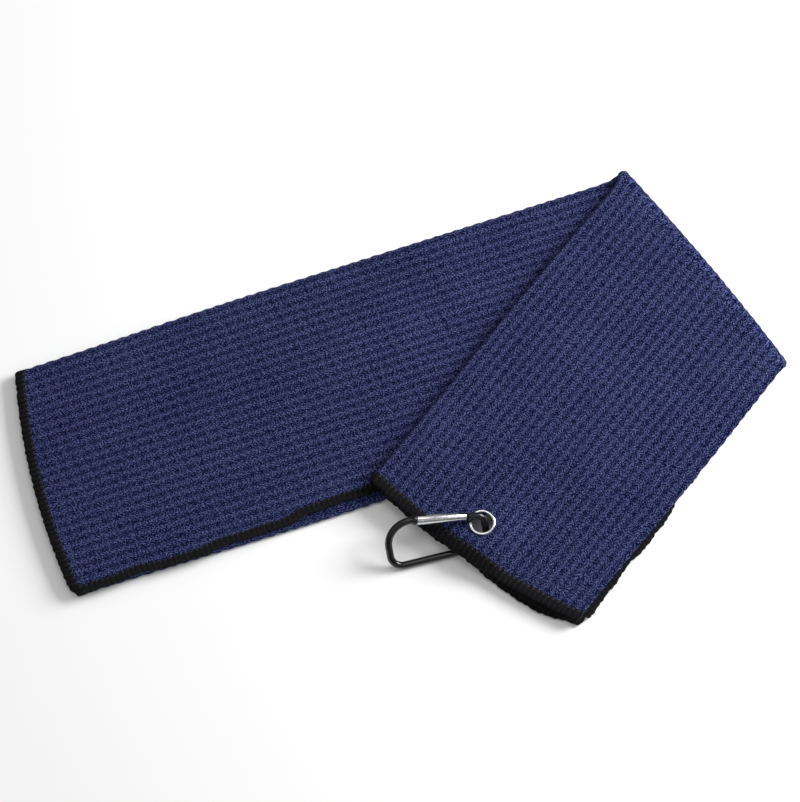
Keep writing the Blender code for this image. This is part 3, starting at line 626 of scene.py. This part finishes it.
def metal(name, light, dark, roughness, metallic, grain, constants=()):
    """A metal whose colour and polish vary in streaks: grain scales the streaks on each axis."""
    material, dye, shader = finish_of(name, roughness, metallic, constants)
    place = dye.node("TexCoord", (), (), 3)
    streaks = dye.node("Mapping", (), {"Vector": place, "Scale": grain})
    noise = dye.node("TexNoise", (), {"Vector": streaks, "Scale": 1.0, "Detail": 3.0})
    cloud = dye.node("TexNoise", (), {"Vector": place, "Scale": 160.0, "Detail": 2.0})
    mixed = dye.node("Mix", {"data_type": "RGBA"}, {0: noise * 0.6 + cloud * 0.4, 6: (*dark, 1),
                                                    7: (*light, 1)}, 2)
    join(dye, mixed, shader, "Base Color")
    join(dye, (noise - 0.5) * 0.14 + (cloud - 0.5) * 0.08 + roughness, shader, "Roughness")
    bump = dye.node("Bump", (), {"Strength": 0.12, "Distance": 0.0001, "Height": noise})
    join(dye, bump, shader, "Normal")
    return material


nickel = metal("nickel_plate", srgb(236, 236, 240), srgb(188, 189, 196), 0.20, 1.0, (900, 900, 2500))
crown = np.linspace(0, math.pi, 15)
half_ring = (EYELET_FLANGE - EYELET_BORE) / 2
barrel = EYELET_BORE + EYELET_WALL
roll_top = -EYELET_SEAT - 2 * PLATE_THICK
roll_under = roll_top - PLATE_THICK
roll_out = barrel + ROLL_WIDTH
outline = [(EYELET_BORE + half_ring * (1 + math.cos(a)), EYELET_SEAT + CROWN * math.sin(a))
           for a in crown]
outline += [(EYELET_BORE, roll_under + 0.0004), (EYELET_BORE + 0.0002, roll_under + 0.0001),
            (EYELET_BORE + 0.0005, roll_under), (roll_out - 0.0003, roll_under),
            (roll_out, roll_top - PLATE_THICK / 2), (roll_out - 0.0001, roll_top), (barrel, roll_top),
            (barrel, EYELET_SEAT)]
eyelet = turned("eyelet_ring", "upper_leg", "eyelet", outline, MIDDLE, (0, 0, 1), nickel)

washer_hole = barrel + PIECE_GAP
washer_under = -EYELET_SEAT - PLATE_THICK
washer_rim = EYELET_FLANGE - 0.0004
outline = [(washer_hole, -EYELET_SEAT), (washer_rim, -EYELET_SEAT),
           (EYELET_FLANGE - 0.00015, -EYELET_SEAT - 0.00012),
           (EYELET_FLANGE - 0.00018, washer_under + 0.0001),
           (washer_rim, washer_under), (washer_hole, washer_under)]
washer = turned("eyelet_back_washer", "upper_leg", "eyelet_washer", outline, MIDDLE, (0, 0, 1),
                nickel)


# ---------------------------------------------------------------- clip
# A small carabiner bent from 4 mm aluminium wire, anodised black and glossy.  A collar and a flat
# hook at one end of the wire hold the gate shut, and a flat tongue at the other holds its pivot.
WIRE = 0.004
TILT = math.radians(48.5)
HEADING = math.radians(14.3)
CLIP_LEFT = -0.0055
CLIP_RIGHT = 0.0489
GATE_HEIGHT = 0.0261
GATE_SLOPE = math.radians(10.9)
CORNER_BACK_LEFT = 0.007
CORNER_LATCH = 0.01346
CORNER_HINGE = 0.0046
CORNER_BACK_RIGHT = 0.008
CROSSING_HEIGHT = 0.0136
CLIP_OFFSET = (0.0014, -0.0005)
GATE_LENGTH = 0.0275
GATE_LATCH_END = 0.0058
GATE_HINGE_END = 0.0046
HINGE_INSET = 0.0022
LATCH_INSET = 0.0026
TONGUE_THICK = 0.0018
TONGUE_ROUND = 0.0017
RUNNING_GAP = 0.0003
PIN = 0.0014
CAM_OFFSET = 0.0006
HOOK_REACH = 0.0012
NUB = 0.0014
PLATE_EASE = 0.00012

back = np.array([math.cos(HEADING), math.sin(HEADING), 0])
level = np.array([-back[1], back[0], 0])
rise = level * math.cos(TILT) + np.array([0, 0, math.sin(TILT)])
facing = np.cross(back, rise)
clip_origin = (np.array(MIDDLE) + back * CLIP_OFFSET[0] + level * CLIP_OFFSET[1]
               - back * CLIP_RIGHT - rise * CROSSING_HEIGHT)
gate_way = np.array([math.cos(GATE_SLOPE), -math.sin(GATE_SLOPE)])
gate_side = np.array([math.sin(GATE_SLOPE), math.cos(GATE_SLOPE)])
gate_turn = math.pi / 2 - GATE_SLOPE


def in_clip(flat, off=0.0):
    """Points of the clip's plane, off to its facing side, in space."""
    flat = np.asarray(flat, float)
    off = np.broadcast_to(off, flat.shape[:-1])
    return clip_origin + flat[..., :1] * back + flat[..., 1:] * rise + off[..., None] * facing


def bow(centre, radius, start, end, steps=24):
    """Points of an arc in the clip's plane."""
    turn = np.linspace(start, end, steps)
    return np.stack([centre[0] + radius * np.cos(turn), centre[1] + radius * np.sin(turn)], axis=-1)


def tube_rings(path, facing_each, radius, sides=24):
    """Rings round a path: radius (cos t side + sin t facing), side square to path and facing."""
    way = np.gradient(path, axis=0)
    way = way / np.linalg.norm(way, axis=1)[:, None]
    side = np.cross(way, facing_each)
    side = side / np.linalg.norm(side, axis=1)[:, None]
    turn = np.linspace(0, 2 * math.pi, sides, endpoint=False)[None, :, None]
    radius = np.broadcast_to(radius, len(path))[:, None, None]
    return path[:, None] + radius * (np.cos(turn) * side[:, None] + np.sin(turn) * facing_each[:, None])


def tube_maps(rings):
    """Length along the path and round the ring."""
    step = np.linalg.norm(np.diff(rings.mean(axis=1), axis=0), axis=1)
    run = np.concatenate([[0], np.cumsum(step)])
    return np.stack(np.broadcast_arrays(run[:, None], np.linspace(0, 0.012, rings.shape[1])[None]), -1)


def rod_rings(start, end, profile, sides=48):
    """Rings along a straight bar: the profile lists (part of the length, radius)."""
    start, end = np.array(start), np.array(end)
    way = Vector(end - start).normalized()
    face = np.array(way.orthogonal().normalized())
    parts = np.array(profile)
    path = start + (end - start) * parts[:, :1]
    side = np.cross(np.array(way), face)
    turn = np.linspace(0, 2 * math.pi, sides, endpoint=False)[None, :, None]
    return path[:, None] + parts[:, 1, None, None] * (np.cos(turn) * side + np.sin(turn) * face)


def plate(name, outline, thick, finish):
    """A flat plate in the clip's plane, its edges eased by a small bevel."""
    outline = np.array(outline)
    count = len(outline)
    points = np.concatenate([in_clip(outline, -thick / 2), in_clip(outline, thick / 2)])
    walls = [(k, (k + 1) % count, (k + 1) % count + count, k + count) for k in range(count)]
    faces = [tuple(range(count))[::-1], tuple(range(count, 2 * count))] + walls
    piece = made(name, points, faces, finish, np.tile(outline, (2, 1)), 30)
    face_outwards(piece, PLATE_EASE)
    return piece


latch_centre = (CLIP_LEFT + CORNER_LATCH, GATE_HEIGHT - CORNER_LATCH * math.sin(gate_turn))
nose = bow(latch_centre, CORNER_LATCH, gate_turn, gate_turn, 1)[0]
gate_start = nose + gate_way * (NUB + PIECE_GAP)
gate_end = gate_start + gate_way * GATE_LENGTH
pivot = gate_end - gate_way * HINGE_INSET
wire_end = pivot + gate_way * (math.hypot(HINGE_INSET, GATE_HINGE_END / 2) + PIECE_GAP)
hinge_x = CLIP_RIGHT - CORNER_HINGE
tangent = hinge_x + CORNER_HINGE * math.cos(gate_turn)
hinge_y = nose[1] - math.tan(GATE_SLOPE) * (tangent - nose[0]) - CORNER_HINGE * math.sin(gate_turn)
quarter = math.pi / 2
wire_line = np.concatenate([
    [wire_end],
    bow((hinge_x, hinge_y), CORNER_HINGE, gate_turn, 0),
    bow((CLIP_RIGHT - CORNER_BACK_RIGHT, CORNER_BACK_RIGHT), CORNER_BACK_RIGHT, 0, -quarter),
    bow((CLIP_LEFT + CORNER_BACK_LEFT, CORNER_BACK_LEFT), CORNER_BACK_LEFT, -quarter, -2 * quarter),
    bow(latch_centre, CORNER_LATCH, 2 * quarter, gate_turn)])

black = metal("black_anodised_gloss", srgb(20, 20, 23), srgb(7, 7, 9), 0.26, 0.0,
              (260, 260, 260), {"Coat Weight": 0.35, "Coat Roughness": 0.05,
                                 "Specular IOR Level": 0.30})
wire_path = in_clip(wire_line)
wire_rings = tube_rings(wire_path, np.tile(facing, (len(wire_path), 1)), WIRE / 2)
clip_wire = wound("clip_wire", "clip", "clip_frame", wire_rings, tube_maps(wire_rings), black)

collar_rings = rod_rings(in_clip(nose - gate_way * 0.0008), in_clip(nose + gate_way * NUB), [
    (0, WIRE / 2 + 0.0001), (0.35, GATE_LATCH_END / 2 - 0.0003), (0.6, GATE_LATCH_END / 2),
    (0.9, GATE_LATCH_END / 2), (1, GATE_LATCH_END / 2 - 0.0002)])
clip_collar = wound("clip_collar", "clip", "", collar_rings, tube_maps(collar_rings), black)


def by_gate(origin, way, side):
    """A point from origin, way towards the hinge and side towards the gate's outside."""
    return origin + gate_way * way + gate_side * side


pin_room = PIN / 2 + RUNNING_GAP
hook_tip = LATCH_INSET + pin_room + HOOK_REACH
hook_top = GATE_LATCH_END / 2 - 0.0004
hook = [by_gate(gate_start, way, side) for way, side in (
    (-0.001, -pin_room), (-0.001, hook_top), (hook_tip, hook_top), (hook_tip, -pin_room),
    (LATCH_INSET + pin_room, -pin_room), (LATCH_INSET + pin_room, pin_room),
    (LATCH_INSET - pin_room, pin_room), (LATCH_INSET - pin_room, -pin_room))]
clip_hook = plate("clip_hook", hook, TONGUE_THICK, black)
cam = by_gate(pivot, 0, -CAM_OFFSET)
tongue = list(bow(cam, TONGUE_ROUND, gate_turn, gate_turn + math.pi, 20))
tongue_root = wire_end + gate_way * WIRE * 0.3
tongue += [by_gate(tongue_root, 0, -TONGUE_ROUND), by_gate(tongue_root, 0, TONGUE_ROUND)]
clip_tongue = plate("clip_tongue", tongue, TONGUE_THICK, black)
for piece in (clip_hook, clip_tongue):
    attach(piece, "clip")


# ---------------------------------------------------------------- gate and its works
# A turned bar of bright aluminium, tapered towards its pivot and slotted at both ends, with a
# small spring and plunger that push it shut.  Steel pins go through both its ends.
PLUNGER = 0.002
PLUNGER_LENGTH = 0.0032
SPRING = 0.002
SPRING_WIRE = 0.00035
SPRING_LENGTH = 0.0052
SPRING_TURNS = 7
SPRING_SLACK = 0.0006
SLOT_REACH = 0.006

bright = metal("bright_turned_aluminium", srgb(238, 239, 242), srgb(186, 187, 192), 0.24, 1.0,
               (500, 2600, 2600))
latch_half = GATE_LATCH_END / 2
hinge_half = GATE_HINGE_END / 2
gate_rings = rod_rings(in_clip(gate_start), in_clip(gate_end), [
    (0, latch_half - 0.0004), (0.008, latch_half - 0.00012), (0.018, latch_half),
    (0.30, latch_half - 0.00018), (0.985, hinge_half), (1, hinge_half - 0.0003)])
gate = wound("gate_bar", "", "gate", gate_rings, tube_maps(gate_rings), bright)


def cut(piece, name, low, high, width):
    """Cuts a box between two distances along the gate out of it, right through its two sides."""
    ends = [by_gate(gate_start, way, side) for way, side in (
        (low, -SLOT_REACH), (high, -SLOT_REACH), (high, SLOT_REACH), (low, SLOT_REACH))]
    points = np.concatenate([in_clip(ends, -width / 2), in_clip(ends, width / 2)])
    mesh = bpy.data.meshes.new(name)
    mesh.from_pydata(points.tolist(), [], [(3, 2, 1, 0), (4, 5, 6, 7), (0, 1, 5, 4), (1, 2, 6, 5),
                                           (2, 3, 7, 6), (3, 0, 4, 7)])
    tool = bpy.data.objects.new(name, mesh)
    bpy.context.scene.collection.objects.link(tool)
    change = piece.modifiers.new(name, "BOOLEAN")
    change.operation = "DIFFERENCE"
    change.solver = "EXACT"
    change.object = tool
    graph = bpy.context.evaluated_depsgraph_get()
    done = bpy.data.meshes.new_from_object(piece.evaluated_get(graph))
    piece.modifiers.clear()
    piece.data = done
    bpy.data.objects.remove(tool)


slot_width = TONGUE_THICK + 2 * RUNNING_GAP
hinge_slot = HINGE_INSET + TONGUE_ROUND + RUNNING_GAP
plunger_tip = GATE_LENGTH - hinge_slot
plunger_back = plunger_tip - PLUNGER_LENGTH
spring_back = plunger_back - SPRING_SLACK - SPRING_LENGTH
cut(gate, "hinge_slot", plunger_tip, GATE_LENGTH + 0.001, slot_width)
cut(gate, "latch_slot", -0.001, hook_tip + RUNNING_GAP, slot_width)
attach(gate, "clip_gate")

steel = metal("bright_steel", srgb(214, 214, 218), srgb(150, 151, 156), 0.26, 1.0, (700, 700, 700))
latch_pin_place = gate_start + gate_way * LATCH_INSET
for name, body, node, place, half in (
        ("gate_pivot_pin", "clip", "hinge_pin", pivot, hinge_half),
        ("gate_latch_pin", "clip_gate", "latch_pin", latch_pin_place, latch_half)):
    rings = rod_rings(in_clip(place, -half), in_clip(place, half), [
        (0, PIN * 0.34), (0.02, PIN * 0.46), (0.05, PIN / 2), (0.95, PIN / 2), (0.98, PIN * 0.46),
        (1, PIN * 0.34)], 24)
    wound(name, body, node, rings, tube_maps(rings), steel)

rings = rod_rings(in_clip(gate_start + gate_way * plunger_back),
                  in_clip(gate_start + gate_way * plunger_tip), [
    (0, PLUNGER * 0.44), (0.04, PLUNGER / 2), (0.86, PLUNGER / 2), (0.95, PLUNGER * 0.42),
    (1, PLUNGER * 0.3)], 24)
wound("plunger_rod", "plunger", "gate_plunger", rings, tube_maps(rings), steel)

spin = np.linspace(0, SPRING_TURNS * 2 * math.pi, SPRING_TURNS * 24)
coil_radius = (SPRING - SPRING_WIRE) / 2
way = spring_back + SPRING_WIRE / 2 + (SPRING_LENGTH - SPRING_WIRE) * spin / spin[-1]
flat = gate_start + way[:, None] * gate_way + (coil_radius * np.cos(spin))[:, None] * gate_side
coil = in_clip(flat, coil_radius * np.sin(spin))
coil_axis = in_clip(gate_start + way[:, None] * gate_way)
outward = (coil - coil_axis) / coil_radius
rings = tube_rings(coil, outward, SPRING_WIRE / 2, 10)
wound("closing_spring", "clip_gate", "gate_spring", rings, tube_maps(rings), steel)


# ---------------------------------------------------------------- floor and light
# A plain pale floor under a sky that is pale overhead and dark near the horizon.  A broad lamp low
# at the back right lights the weave from the side; two weaker ones are front left and overhead.
ground = bpy.data.meshes.new("floor")
ground.from_pydata([(-6, -6, 0), (6, -6, 0), (6, 6, 0), (-6, 6, 0)], [], [(0, 1, 2, 3)])
floor = bpy.data.objects.new("floor", ground)
floor.location.z = -0.0004
bpy.context.scene.collection.objects.link(floor)
pale = finish_of("pale_floor", 0.9, 0.0, {"Base Color": (0.94, 0.94, 0.94, 1),
                                           "Specular IOR Level": 0.1})[0]
ground.materials.append(pale)

world = bpy.data.worlds.new("studio")
world.use_nodes = True
dye = Dye(world.node_tree)
direction = dye.node("SeparateXYZ", (), {0: dye.node("TexCoord")})
upness = Dye(dye.tree, direction.socket.node.outputs[2])
sky = dye.node("ValToRGB", {"stops": ((0.0, (0.10,) * 3), (1.0, (1.0,) * 3), (0.30, (0.16,) * 3),
                                      (0.55, (0.95,) * 3))}, {0: upness})
studio = world.node_tree.nodes["Background"]
studio.inputs["Strength"].default_value = 0.45
dye.tree.links.new(sky.socket, studio.inputs["Color"])
bpy.context.scene.world = world
for name, place, size, power in (("key", (1.15, 0.45, 0.70), 0.75, 30),
                                 ("fill", (-1.0, -0.5, 1.3), 1.2, 2),
                                 ("top", (0.1, 0.2, 1.9), 0.8, 4)):
    lamp = bpy.data.lights.new(name, "AREA")
    lamp.size = size
    lamp.energy = power
    light = bpy.data.objects.new(name, lamp)
    light.location = place
    light.rotation_euler = (-Vector(place)).to_track_quat("-Z", "Y").to_euler()
    bpy.context.scene.collection.objects.link(light)
